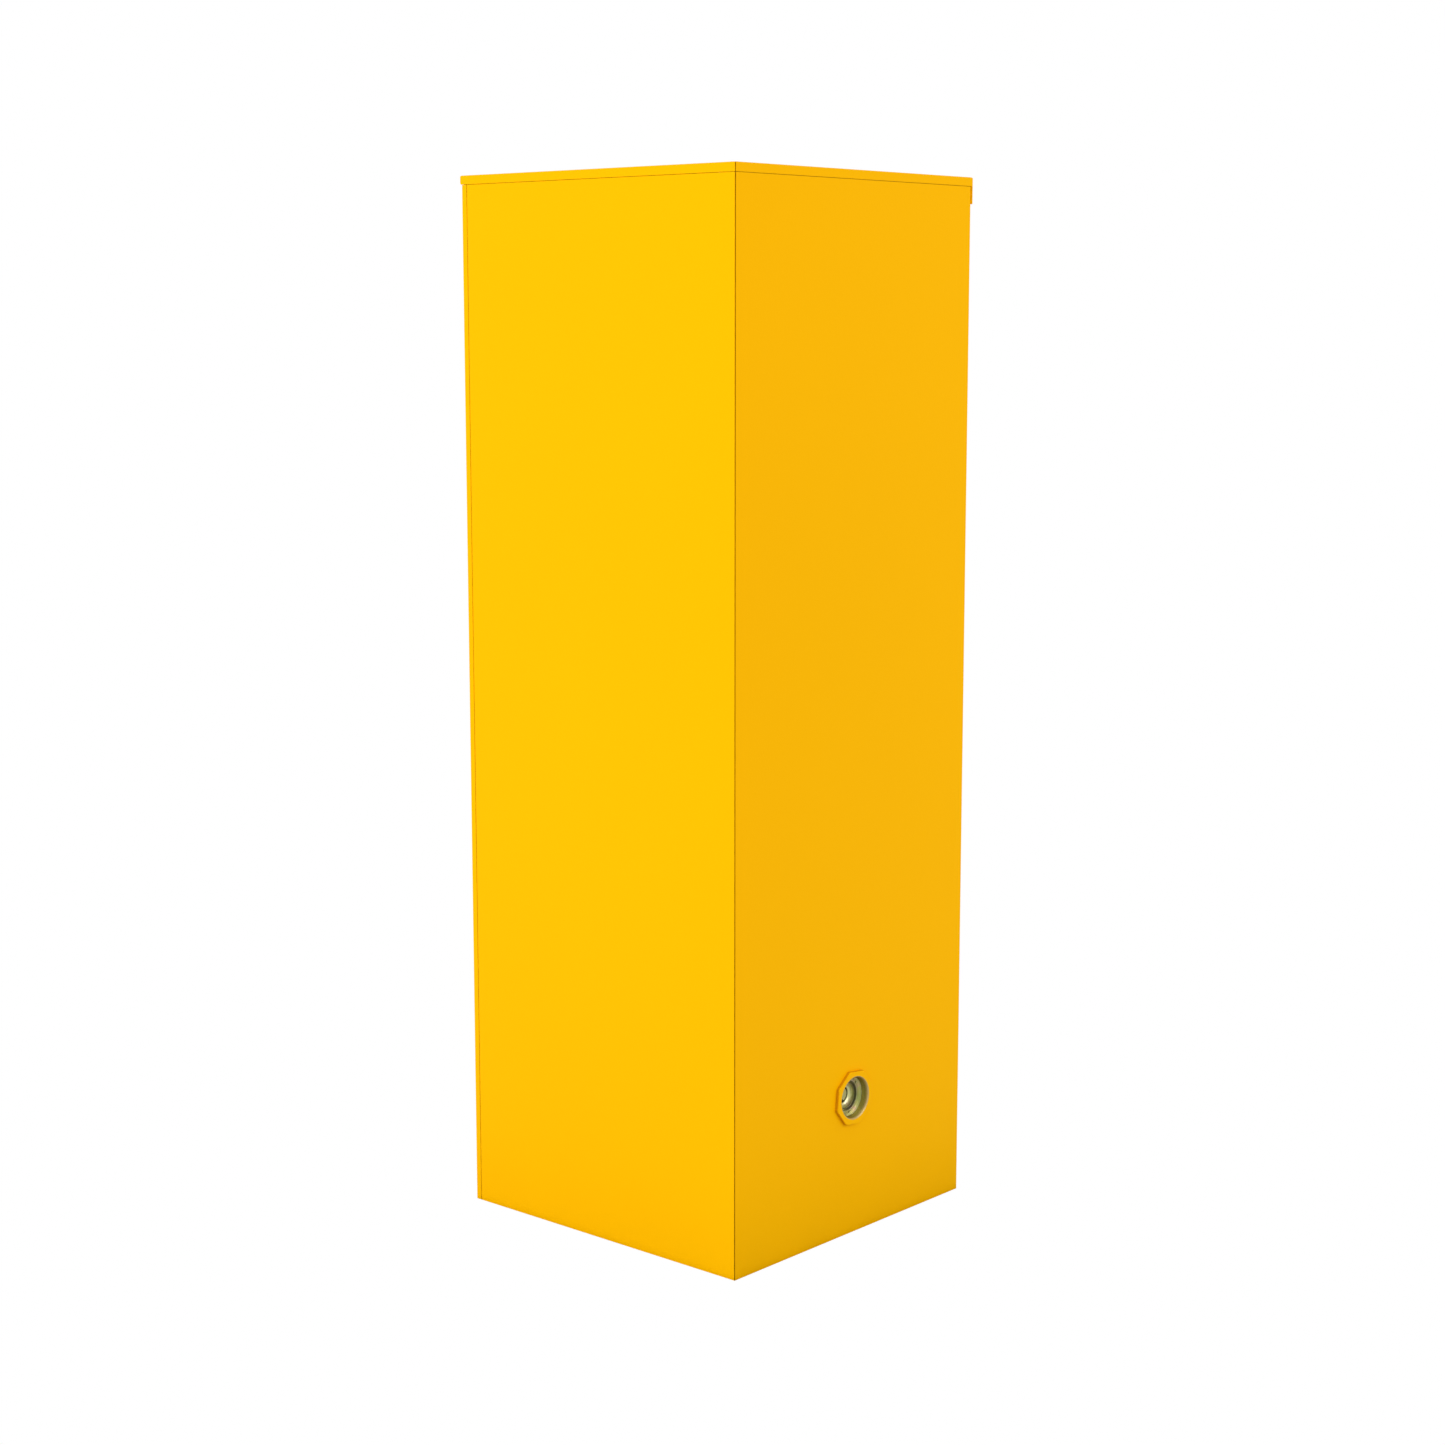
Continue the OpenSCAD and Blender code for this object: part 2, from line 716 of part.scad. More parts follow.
// Key plug: a bowl with a centre post in a ring-shaped keyway, and a tail for the crank
module key_plug() color(GOLD) {
    post_r = centre_post_d / 2;
    bowl_r = plug_r - 0.5;
    floor_r = post_r + keyway_w;
    at_lock() {
        difference() {
            rotate_extrude() polygon(concat([[0, bowl_floor + 0.3], [0.8, bowl_floor - 0.4], [post_r, bowl_floor - 0.4],
                [post_r, bowl_floor + 6], [floor_r, bowl_floor + 6], [floor_r, bowl_floor]],
                [for (t = [15:15:90]) [floor_r + (bowl_r - floor_r) * sin(t),
                    bowl_floor - (bowl_floor - plug_front) * (1 - cos(t))]],
                [[plug_r, plug_front], [plug_r, barrel_d1], [tail_d / 2, barrel_d1],
                [tail_d / 2, barrel_d1 + crank_gap + crank_t], [0, barrel_d1 + crank_gap + crank_t]]));
            translate([-0.8, post_r - 0.9, bowl_floor - eps]) cube([1.6, 1.4, 5]);
        }
    }
}

module drive_crank() color(STEEL) {
    at_lock() translate([0, 0, barrel_d1 + crank_gap]) rotate(-45) {
        linear_extrude(crank_t) difference() {
            union() {
                circle(d = tail_d + 10);
                translate([tail_d / 2 + 1, -crank_arm_w / 2]) square([crank_r - tail_d / 2 - 1, crank_arm_w]);
                translate([crank_r, 0]) circle(d = drive_pin_d + 6);
            }
            circle(d = tail_d + 2 * slip);
        }
        translate([crank_r, 0, crank_t / 2]) rotate(30) cylinder(d = drive_pin_d, h = crank_t / 2 + bar_t + 2);
    }
}

// Flat bar that the crank pushes down, with a cam plate whose slanted slot throws the bolt
module bolt_bar() color(ZINC) {
    slot_x0 = crank_r * cos(45) - 0.5;
    slot_l = crank_r - slot_x0 + 0.5;
    cam_y0 = bolt_pin_y - bar_drop - drive_pin_d - 5;
    cam_y1 = bar_y0 + bar_t + 4;
    difference() {
        union() {
            translate([bar_x0, bar_y0, bolt_z + 30]) cube([bar_w, bar_t, bar_rest_z + 10 - bolt_z - 30]);
            translate([cam_x0, cam_y0, bolt_z - 12]) cube([cam_t, cam_y1 - cam_y0, bar_drop + 24]);
        }
        translate([slot_x0, bar_y0 - eps, bar_rest_z]) rotate([-90, 0, 0])
            slot_x(slot_l, drive_pin_d + 2 * slot_play, bar_t + 2 * eps);
        translate([cam_x0 - eps, bolt_pin_y, bolt_z]) rotate([0, 90, 0]) rotate(-135)
            slot_x(bar_drop * sqrt(2), drive_pin_d + 0.4, cam_t + 2 * eps);
    }
}

module bar_guides() color(STEEL) {
    for (z = [8, 34]) difference() {
        translate([bar_x0 - 6, -inner_a, z]) cube([bar_w + 12, bar_y0 + bar_t + 5 + inner_a, 12]);
        translate([bar_x0 - bar_play, bar_y0 - bar_play, z - eps])
            cube([bar_w + 2 * bar_play, bar_t + 2 * bar_play, 12 + 2 * eps]);
    }
}

module lock_bolt() color(ZINC) {
    at_bolt(bolt_tip) difference() {
        union() {
            cylinder(d1 = bolt_d - 3, d2 = bolt_d, h = 1.5);
            translate([0, 0, 1.5]) cylinder(d = bolt_d, h = bolt_l - 1.5);
        }
        translate([0, 0, bolt_pin_y - bolt_tip]) rotate([0, 90, 0])
            cylinder(d = drive_pin_d + 2 * slip, h = bolt_d, center = true);
    }
}

module bolt_pin() color(STEEL) {
    translate([-bolt_d / 2 + 2, bolt_pin_y, bolt_z]) rotate([0, 90, 0])
        cylinder(d = drive_pin_d, h = bolt_d / 2 - 2 + cam_x0 + cam_t + 1);
}

module bolt_guide() color(STEEL) {
    difference() {
        translate([-bolt_guide_a, -inner_a, bolt_z - bolt_guide_a])
            cube([2 * bolt_guide_a, bolt_guide_y1 + inner_a, 2 * bolt_guide_a]);
        at_bolt(-inner_a - eps) cylinder(d = bolt_d + 2 * slip, h = bolt_guide_y1 + inner_a + 2 * eps);
    }
}

ground_frame();
collar_plate();
collar_screws();
wiper_seal();
casing_shell();
base_plate();
anchor_lugs();
drain_spigot();
guide_strips();
guide_screws();
stop_blocks();
stop_pads();
upper_keeper();
keeper_boxes();
bottom_buffers();
spring_foot();
lower_pin();
gas_cylinder();
cylinder_gland();
front_shell();
left_plate();
back_plate();
corner_angles();
foot_ring();
foot_shoes();
lid();
lid_screws();
lid_tabs();
handle_pan();
spring_beam();
upper_pin();
piston_rod();
piston();
lock_collar();
lock_nut();
retaining_ring();
lock_barrel();
bolt_guide();
bar_guides();
key_plug();
drive_crank();
bolt_bar();
lock_bolt();
bolt_pin();
lifting_handle();
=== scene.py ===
"""Finish of a retractable bollard: powder coat, galvanising, plating, welds and washers round its frame."""

import math

import bpy
import bmesh
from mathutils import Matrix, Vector


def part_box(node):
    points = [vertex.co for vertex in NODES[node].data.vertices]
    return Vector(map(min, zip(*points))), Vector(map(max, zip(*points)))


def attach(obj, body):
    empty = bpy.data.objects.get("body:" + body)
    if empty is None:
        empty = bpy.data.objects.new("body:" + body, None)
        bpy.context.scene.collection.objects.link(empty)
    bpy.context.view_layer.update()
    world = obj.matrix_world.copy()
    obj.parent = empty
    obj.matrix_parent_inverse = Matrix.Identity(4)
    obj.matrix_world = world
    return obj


bl_info = {
    "name": "Retractable bollard",
    "version": (1, 0, 0),
    "blender": (4, 5, 0),
    "location": "3D View > Sidebar > Bollard",
    "description": "Finishes a retractable bollard and its casing",
    "category": "Object",
}

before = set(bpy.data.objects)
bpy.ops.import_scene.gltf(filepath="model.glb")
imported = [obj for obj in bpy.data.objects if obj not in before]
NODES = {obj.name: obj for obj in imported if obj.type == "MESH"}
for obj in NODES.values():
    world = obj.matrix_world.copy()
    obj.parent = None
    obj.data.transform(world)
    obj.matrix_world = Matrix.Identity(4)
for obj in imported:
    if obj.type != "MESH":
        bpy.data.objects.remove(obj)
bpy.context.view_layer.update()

HALF_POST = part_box("back_plate")[1].x
HALF_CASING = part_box("casing_shell")[1].x
FRAME_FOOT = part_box("ground_frame")[0].z
BASE_LOW, BASE_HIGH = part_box("base_plate")
DRAIN_LOW, DRAIN_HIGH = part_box("drain_spigot")
FLANGE_LOW, FLANGE_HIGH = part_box("lock_collar")
PLUG_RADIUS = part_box("key_plug")[1].x

LOCK_Z = (FLANGE_LOW.z + FLANGE_HIGH.z) / 2
FLANGE_FACE = FLANGE_LOW.y
SOCKET_RADIUS = 0.01175
KEYWAY_RADIUS = 0.0046
# the flange's sides that get painted shade are found by these two limits
SIDE_REACH = 0.0022  # the flange's sides lie further than this outside the socket
SIDE_DEPTH = 0.0004  # and further than this behind its face
NECK_DEPTH = 0.0032  # the bare neck starts this far behind the flange's face
SOCKET_SHADE = (0.0002, 0.0022)  # painted shade darkens the bare zinc between these depths into the socket
RAGGED = 0.0004  # width of the ragged edge between the coat and the bared rim
HALF_LUG_WEB = 0.0025
BEAD_END = 0.003  # a lug's beads stop this far from its ends
RIPPLE_SIZES = (0.86, 1.08)  # smallest and largest ripple, as shares of the bead's radius
LIGHT_PLACES = {"key": (-2.3, 0.5, 0.9), "fill": (0.6, -2.3, 1.2), "rim": (1.9, 1.9, 1.6)}
LIGHT_TARGET = (0, 0, 0.3)

COATED = ("front_shell", "left_plate", "back_plate", "lid", "handle_pan")
GALVANISED = ("ground_frame", "collar_plate", "casing_shell", "base_plate", "anchor_lugs", "drain_spigot",
              "stop_blocks", "upper_keeper", "keeper_boxes", "spring_foot", "corner_angles", "foot_ring",
              "lid_tabs", "spring_beam", "bolt_guide", "bar_guides", "bolt_bar")
STAINLESS = ("collar_screws", "guide_screws", "cylinder_gland", "lid_screws", "piston", "lock_bolt",
             "bolt_pin", "lifting_handle")
PLATED = ("lower_pin", "upper_pin", "lock_nut", "retaining_ring", "lock_barrel", "key_plug", "drive_crank")
NYLON = ("guide_strips", "foot_shoes")
RUBBER = ("wiper_seal", "stop_pads", "bottom_buffers")


# ---- Settings ----

class CoatSettings(bpy.types.PropertyGroup):
    """Yellow powder coat of the post"""
    colour: bpy.props.FloatVectorProperty(
        name="Colour", description="Colour of the powder coat", subtype="COLOR", size=3,
        default=(0.97, 0.478, 0.0002), min=0, max=1)
    roughness: bpy.props.FloatProperty(
        name="Roughness", description="Roughness of the powder coat", default=0.46, min=0, max=1, subtype="FACTOR")
    peel_size: bpy.props.FloatProperty(
        name="Orange peel size", description="Width of the dimples in the coat", default=0.0016,
        min=0.0003, max=0.01, unit="LENGTH")
    peel_depth: bpy.props.FloatProperty(
        name="Orange peel depth", description="Depth of the dimples in the coat", default=0.00002,
        min=0, max=0.0005, unit="LENGTH")
    edge_round: bpy.props.FloatProperty(
        name="Edge rounding", description="Radius that the coat gives to sharp edges", default=0.0004,
        min=0, max=0.003, unit="LENGTH")
    bare_width: bpy.props.FloatProperty(
        name="Bared rim", description="Width of the bare metal round the lock socket", default=0.0009,
        min=0, max=0.003, unit="LENGTH")


class ZincSettings(bpy.types.PropertyGroup):
    """Hot-dip galvanising of the casing"""
    colour: bpy.props.FloatVectorProperty(
        name="Colour", description="Mean colour of the zinc", subtype="COLOR", size=3,
        default=(0.40, 0.42, 0.43), min=0, max=1)
    spangle_size: bpy.props.FloatProperty(
        name="Spangle size", description="Width of the zinc crystals", default=0.011,
        min=0.002, max=0.05, unit="LENGTH")
    roughness: bpy.props.FloatProperty(
        name="Roughness", description="Mean roughness of the zinc", default=0.42, min=0, max=1, subtype="FACTOR")


class WeldSettings(bpy.types.PropertyGroup):
    """Weld beads on the casing"""
    radius: bpy.props.FloatProperty(
        name="Bead radius", description="Radius of the weld beads", default=0.003,
        min=0.001, max=0.006, unit="LENGTH")
    pitch: bpy.props.FloatProperty(
        name="Ripple pitch", description="Distance between the ripples of a bead", default=0.0024,
        min=0.001, max=0.01, unit="LENGTH")
    seed: bpy.props.IntProperty(name="Seed", description="Seed of the unevenness of the ripples", default=4)


class WasherSettings(bpy.types.PropertyGroup):
    """Washers under the guide screws"""
    outer: bpy.props.FloatProperty(
        name="Outer radius", description="Outer radius of a washer", default=0.0078,
        min=0.006, max=0.012, unit="LENGTH")
    inner: bpy.props.FloatProperty(
        name="Inner radius", description="Inner radius of a washer", default=0.0034,
        min=0.002, max=0.005, unit="LENGTH")
    thickness: bpy.props.FloatProperty(
        name="Thickness", description="Thickness of a washer", default=0.0014,
        min=0.0005, max=0.003, unit="LENGTH")


class StudioSettings(bpy.types.PropertyGroup):
    """Camera, lights and floor"""
    lens: bpy.props.FloatProperty(name="Lens", description="Focal length of the camera in millimetres", default=64.71)
    camera_at: bpy.props.FloatVectorProperty(
        name="Camera", description="Place of the camera", default=(-1.1253, -0.9955, 0.5205), unit="LENGTH")
    azimuth: bpy.props.FloatProperty(
        name="Azimuth", description="Direction that the camera looks in, from +X towards +Y",
        default=math.radians(41.403), subtype="ANGLE")
    pitch: bpy.props.FloatProperty(
        name="Pitch", description="How far the camera looks down", default=math.radians(8.843), subtype="ANGLE")
    floor_radius: bpy.props.FloatProperty(
        name="Floor radius", description="Radius of the pale floor", default=0.62, min=0.3, max=0.9, unit="LENGTH")
    card_distance: bpy.props.FloatProperty(
        name="Card distance", description="Distance of the white ground card from the camera", default=0.35,
        min=0.15, max=0.9, unit="LENGTH")
    card_height: bpy.props.FloatProperty(
        name="Card height", description="Height on the post that the card's sides reach up to", default=0.06,
        min=0, max=0.2, unit="LENGTH")
    fold_reach: bpy.props.FloatProperty(
        name="Fold reach", description="How far the folded corner's outline stands back", default=0.00105,
        min=0, max=0.003, unit="LENGTH")
    ambient: bpy.props.FloatProperty(
        name="Ambient light", description="Strength of the light from all round", default=0.74, min=0)
    key: bpy.props.FloatProperty(name="Key light", description="Power of the left light", default=29.8, min=0)
    fill: bpy.props.FloatProperty(name="Fill light", description="Power of the right light", default=17.4, min=0)
    rim: bpy.props.FloatProperty(name="Rim light", description="Power of the light behind", default=16, min=0)
    light_size: bpy.props.FloatProperty(
        name="Light size", description="Width of each light", default=1.6, min=0.2, unit="LENGTH")


# ---- Node helpers ----

class Tree:
    """A few short calls that build one node tree"""

    def __init__(self, tree):
        self.tree = tree
        self.column = 0

    def add(self, kind, inputs=None, **settings):
        """A node of that kind, with its settings, and its inputs as values or as sockets to link"""
        node = self.tree.nodes.new(kind)
        self.column += 1
        node.location = (180 * self.column, -120 * (self.column % 4))
        for name, value in settings.items():
            setattr(node, name, value)
        for key, value in (inputs or {}).items():
            self.give(node.inputs[key], value)
        return node

    def give(self, socket, value):
        if isinstance(value, bpy.types.NodeSocket):
            self.tree.links.new(value, socket)
        else:
            socket.default_value = value

    def math(self, operation, first, second=0.0):
        return self.add("ShaderNodeMath", {0: first, 1: second}, operation=operation).outputs[0]

    def mix(self, factor, first, second):
        node = self.add("ShaderNodeMix", data_type="RGBA")
        self.give(node.inputs[0], factor)
        self.give(node.inputs[6], first)
        self.give(node.inputs[7], second)
        return node.outputs[2]

    def span(self, value, low, high, from_low=0.0, from_high=1.0):
        """The value carried from one range to another"""
        return self.add("ShaderNodeMapRange", {"Value": value, "From Min": from_low, "From Max": from_high,
                                               "To Min": low, "To Max": high}).outputs[0]

    def surface(self, factor, first, second, output="Material Output"):
        """Ends the tree in a mix of two shaders"""
        both = self.add("ShaderNodeMixShader", {0: factor, 1: first, 2: second})
        self.give(self.tree.nodes[output].inputs["Surface"], both.outputs[0])

    def white_light(self, kind, strength=1.0):
        """A white shader of that kind, which gives off light"""
        return self.add(kind, {"Color": (1, 1, 1, 1), "Strength": strength}).outputs[0]


def rgb(colour, factor=1.0):
    """The colour with an alpha, brighter or darker by the factor"""
    return (*(min(1.0, c * factor) for c in colour[:3]), 1.0)


def group_tree(name, inputs, outputs):
    """A new shader node group with its sockets, and its Tree, input node and output node"""
    tree = bpy.data.node_groups.new(name, "ShaderNodeTree")
    for way, sockets in (("INPUT", inputs), ("OUTPUT", outputs)):
        for socket, kind in sockets:
            tree.interface.new_socket(socket, in_out=way, socket_type=kind)
    made = Tree(tree)
    return made, made.add("NodeGroupInput"), made.add("NodeGroupOutput")


def mottle_group():
    """Soft blotches and fine grain, each from 0 to 1, over the piece's own coordinates"""
    found = bpy.data.node_groups.get("Mottle")
    if found:
        return found
    tree, given, out = group_tree(
        "Mottle",
        [("Vector", "NodeSocketVector"), ("Blotch scale", "NodeSocketFloat"), ("Grain scale", "NodeSocketFloat")],
        [("Blotches", "NodeSocketFloat"), ("Grain", "NodeSocketFloat")])
    for name, scale, detail in (("Blotches", "Blotch scale", 4.0), ("Grain", "Grain scale", 2.0)):
        noise = tree.add("ShaderNodeTexNoise", {"Vector": given.outputs["Vector"], "Scale": given.outputs[scale],
                                                "Detail": detail, "Roughness": 0.55})
        tree.give(out.inputs[name], tree.span(noise.outputs[0], 0.0, 1.0, 0.3, 0.7))
    return tree.tree


def edge_group():
    """A rounded normal along sharp edges, and a mask of those edges"""
    found = bpy.data.node_groups.get("Rounded edges")
    if found:
        return found
    tree, given, out = group_tree(
        "Rounded edges", [("Radius", "NodeSocketFloat")],
        [("Normal", "NodeSocketVector"), ("Edge", "NodeSocketFloat")])
    bevel = tree.add("ShaderNodeBevel", {"Radius": given.outputs["Radius"]}, samples=6)
    geometry = tree.add("ShaderNodeNewGeometry")
    dot = tree.add("ShaderNodeVectorMath", {0: bevel.outputs[0], 1: geometry.outputs["Normal"]},
                   operation="DOT_PRODUCT")
    tree.give(out.inputs["Normal"], bevel.outputs[0])
    tree.give(out.inputs["Edge"], tree.span(dot.outputs["Value"], 1.0, 0.0, 0.75, 0.99))
    return tree.tree


class Finish(Tree):
    """The tree of a new material, with its shader and the piece's own coordinates"""

    def __init__(self, name):
        self.material = bpy.data.materials.new(name)
        self.material.use_nodes = True
        super().__init__(self.material.node_tree)
        self.shader = self.tree.nodes["Principled BSDF"]
        self.place = self.add("ShaderNodeTexCoord").outputs["Object"]

    def set(self, name, value):
        """Gives an input of the shader a value or a socket"""
        self.give(self.shader.inputs[name], value)

    def noise(self, scale, detail, vector=None, **inputs):
        """Noise over the piece's coordinates: its value and its colour"""
        return self.add("ShaderNodeTexNoise", {"Vector": vector or self.place, "Scale": scale, "Detail": detail,
                                               **inputs}).outputs

    def rings(self, scale, distortion, detail):
        """Wavy rings that follow one another up the piece"""
        return self.add("ShaderNodeTexWave", {"Vector": self.place, "Scale": scale, "Distortion": distortion,
                                              "Detail": detail}, bands_direction="Z").outputs[0]

    def mottle(self, blotch_scale, grain_scale):
        """Soft blotches and fine grain"""
        group = self.add("ShaderNodeGroup", {"Vector": self.place, "Blotch scale": blotch_scale,
                                             "Grain scale": grain_scale}, node_tree=mottle_group())
        return group.outputs["Blotches"], group.outputs["Grain"]

    def edges(self, radius):
        """The normal that rounds the edges, and the mask of the edges"""
        group = self.add("ShaderNodeGroup", {"Radius": radius}, node_tree=edge_group())
        return group.outputs["Normal"], group.outputs["Edge"]

    def worn(self, edge, share, body, bare):
        """The body's colour, with a share of the bare colour along the edges"""
        return self.mix(self.math("MULTIPLY", edge, share), body, bare)

    def relief(self, height, depth, normal):
        """Fine relief on top of a normal"""
        self.set("Normal", self.add("ShaderNodeBump", {"Distance": depth, "Height": height,
                                                       "Normal": normal}).outputs[0])

    def round_lock(self):
        """The distance from the lock's axis, and the place from front to back"""
        parts = self.add("ShaderNodeSeparateXYZ", {0: self.place})
        across = parts.outputs["X"]
        up = self.math("SUBTRACT", parts.outputs["Z"], LOCK_Z)
        square = self.math("ADD", self.math("MULTIPLY", across, across), self.math("MULTIPLY", up, up))
        return self.math("SQRT", square), parts.outputs["Y"]


# ---- Finishes ----

def coat_body(finish, coat):
    """Relief and gloss of the powder coat; gives its colour and roughness"""
    blotches, grain = finish.mottle(3.5, 1 / coat.peel_size)
    normal, edge = finish.edges(coat.edge_round)
    even = finish.mix(blotches, rgb(coat.colour, 0.985), rgb(coat.colour, 1.012))
    flecked = finish.mix(finish.math("MULTIPLY", grain, 0.10), even, rgb(coat.colour, 0.955))
    finish.relief(grain, coat.peel_depth, normal)
    finish.set("Specular IOR Level", 0.03)
    finish.set("Specular Tint", (1.0, 0.6, 0.02, 1))
    return (finish.worn(edge, 0.35, flecked, (1.0, 0.56, 0.01, 1)),
            finish.span(grain, coat.roughness - 0.04, coat.roughness + 0.05))


def powder_coat(coat):
    finish = Finish("Yellow powder coat")
    colour, roughness = coat_body(finish, coat)
    finish.set("Base Color", colour)
    finish.set("Roughness", roughness)
    return finish.material


def bared_coat(coat):
    """Powder coat on the flange, with painted shade on its sides, and bare zinc on its socket and neck, darkened
    deeper into the socket by painted shade
    """
    finish = Finish("Yellow powder coat with a bared rim")
    colour, roughness = coat_body(finish, coat)
    radius, back = finish.round_lock()
    ragged = finish.math("MULTIPLY", finish.noise(900.0, 2.0)[0], RAGGED)
    rim = finish.math("ADD", SOCKET_RADIUS + coat.bare_width - RAGGED / 2, ragged)
    bare = finish.math("MAXIMUM", finish.math("LESS_THAN", radius, rim),
                       finish.math("GREATER_THAN", back, FLANGE_FACE + NECK_DEPTH))
    # painted shade: a darker orange on the flange's sides, behind its face and outside the socket, where shade falls
    # in the groove
    side = finish.math("MULTIPLY", finish.math("GREATER_THAN", radius, SOCKET_RADIUS + SIDE_REACH),
                       finish.math("GREATER_THAN", back, FLANGE_FACE + SIDE_DEPTH))
    shaded_sides = finish.mix(finish.math("MULTIPLY", side, 0.5), colour, (0.42, 0.15, 0.003, 1))
    # painted shade: the bare zinc goes darker deeper into the socket
    depth = finish.span(back, 0.0, 1.0, *(FLANGE_FACE + shade for shade in SOCKET_SHADE))
    zinc = finish.mix(depth, (0.64, 0.46, 0.18, 1), (0.34, 0.29, 0.06, 1))
    finish.set("Base Color", finish.mix(bare, shaded_sides, zinc))
    finish.set("Metallic", finish.math("MULTIPLY", bare, 0.9))
    finish.set("Roughness", finish.add("ShaderNodeMix", {0: bare, 2: roughness, 3: 0.3}).outputs[0])
    return finish.material


def galvanised(zinc):
    """Zinc crystals of many greys, with dull patches and fine grain"""
    finish = Finish("Hot-dip galvanising")
    shift = finish.add("ShaderNodeVectorMath", {0: finish.noise(60.0, 2.0)[1], 3: 0.006}, operation="SCALE")
    bent = finish.add("ShaderNodeVectorMath", {0: finish.place, 1: shift.outputs[0]}, operation="ADD")
    large, small = (finish.add("ShaderNodeSeparateXYZ", {0: finish.add("ShaderNodeTexVoronoi", {
        "Vector": bent.outputs[0], "Scale": fineness / zinc.spangle_size}).outputs["Color"]})
        for fineness in (1, 3.1))
    crystal = finish.math("ADD", finish.math("MULTIPLY", large.outputs[0], 0.7),
                          finish.math("MULTIPLY", small.outputs[1], 0.3))
    blotches, grain = finish.mottle(9.0, 900.0)
    normal, edge = finish.edges(0.0012)
    bright = finish.mix(crystal, rgb(zinc.colour, 0.78), rgb(zinc.colour, 1.22))
    dulled = finish.mix(finish.math("MULTIPLY", blotches, 0.35), bright, (0.36, 0.37, 0.37, 1))
    finish.set("Base Color", finish.worn(edge, 0.5, dulled, (0.62, 0.63, 0.63, 1)))
    finish.set("Metallic", 0.82)
    finish.set("Roughness", finish.math("ADD", finish.span(crystal, zinc.roughness - 0.12, zinc.roughness + 0.12),
                                        finish.math("MULTIPLY", blotches, 0.12)))
    finish.relief(finish.math("ADD", finish.math("MULTIPLY", crystal, 0.5), finish.math("MULTIPLY", grain, 0.5)),
                  0.00006, normal)
    return finish.material


def stainless():
    """Turned and brushed stainless steel"""
    finish = Finish("Brushed stainless steel")
    long_way = finish.add("ShaderNodeMapping", {"Vector": finish.place, "Scale": (60.0, 900.0, 900.0)}).outputs[0]
    lines = finish.noise(1.0, 3.0, long_way)[0]
    blotches, _ = finish.mottle(40.0, 1500.0)
    normal, edge = finish.edges(0.0005)
    steel = finish.mix(lines, (0.50, 0.50, 0.49, 1), (0.66, 0.66, 0.64, 1))
    finish.set("Base Color", finish.worn(edge, 0.5, steel, (0.80, 0.80, 0.78, 1)))
    finish.set("Metallic", 1.0)
    finish.set("Roughness", finish.math("ADD", finish.span(lines, 0.22, 0.36),
                                        finish.math("MULTIPLY", blotches, 0.08)))
    finish.relief(lines, 0.00001, normal)
    return finish.material


def plated():
    """Yellow chromated zinc: straw that drifts to pink and to green, with painted shade in the gap round the plug and
    in the keyway
    """
    finish = Finish("Yellow zinc plating")
    ramp = finish.add("ShaderNodeValToRGB", {0: finish.noise(95.0, 3.0, Distortion=0.6)[0]})
    bands = ((0.30, (0.62, 0.66, 0.30, 1)), (0.44, (0.74, 0.72, 0.34, 1)), (0.54, (0.78, 0.74, 0.40, 1)),
             (0.64, (0.86, 0.64, 0.50, 1)), (0.72, (0.72, 0.73, 0.38, 1)))
    while len(ramp.color_ramp.elements) < len(bands):
        ramp.color_ramp.elements.new(0.5)
    for element, (position, colour) in zip(ramp.color_ramp.elements, bands):
        element.position = position
        element.color = colour
    blotches, grain = finish.mottle(150.0, 2500.0)
    normal, edge = finish.edges(0.0003)
    worn = finish.worn(edge, 0.6, ramp.outputs[0], (0.90, 0.86, 0.62, 1))
    radius, _ = finish.round_lock()
    # painted shade: near black in the gap round the plug and in the keyway, where shade falls
    off_gap, off_keyway = (finish.math("ABSOLUTE", finish.math("SUBTRACT", radius, ring))
                           for ring in (PLUG_RADIUS, KEYWAY_RADIUS))
    gap_shade = finish.span(finish.math("MINIMUM", off_gap, off_keyway), 0.93, 0.0, 0.0003, 0.0009)
    finish.set("Base Color", finish.mix(gap_shade, worn, (0.05, 0.042, 0.010, 1)))
    finish.set("Metallic", 0.78)
    finish.set("Roughness", finish.span(blotches, 0.28, 0.42))
    finish.relief(grain, 0.00001, normal)
    return finish.material


def chromed_rod():
    """Ground and polished chrome, with faint rings round the rod"""
    finish = Finish("Polished chrome")
    rings = finish.rings(700.0, 2.0, 2.0)
    blotches, _ = finish.mottle(20.0, 900.0)
    finish.set("Base Color", finish.mix(blotches, (0.74, 0.75, 0.76, 1), (0.82, 0.82, 0.83, 1)))
    finish.set("Metallic", 1.0)
    finish.set("Roughness", finish.span(rings, 0.05, 0.12))
    finish.relief(rings, 0.000002, finish.edges(0.0005)[0])
    return finish.material


def baked_paint():
    """Black baked paint of the gas cylinder"""
    finish = Finish("Black baked paint")
    blotches, grain = finish.mottle(15.0, 800.0)
    normal, edge = finish.edges(0.0008)
    black = finish.mix(blotches, (0.012, 0.012, 0.013, 1), (0.022, 0.022, 0.023, 1))
    finish.set("Base Color", finish.worn(edge, 0.4, black, (0.08, 0.08, 0.08, 1)))
    finish.set("Roughness", finish.span(grain, 0.26, 0.38))
    finish.set("Coat Weight", 0.3)
    finish.relief(grain, 0.00002, normal)
    return finish.material


def cast_nylon():
    """Natural nylon with milling marks"""
    finish = Finish("Cast nylon")
    marks = finish.rings(260.0, 1.5, 1.0)
    blotches, grain = finish.mottle(30.0, 700.0)
    cream = finish.mix(blotches, (0.72, 0.69, 0.58, 1), (0.82, 0.80, 0.71, 1))
    finish.set("Base Color", finish.mix(finish.math("MULTIPLY", grain, 0.12), cream, (0.50, 0.48, 0.40, 1)))
    finish.set("Roughness", finish.span(marks, 0.42, 0.58))
    finish.set("Subsurface Weight", 0.08)
    finish.relief(marks, 0.00003, finish.edges(0.0008)[0])
    return finish.material


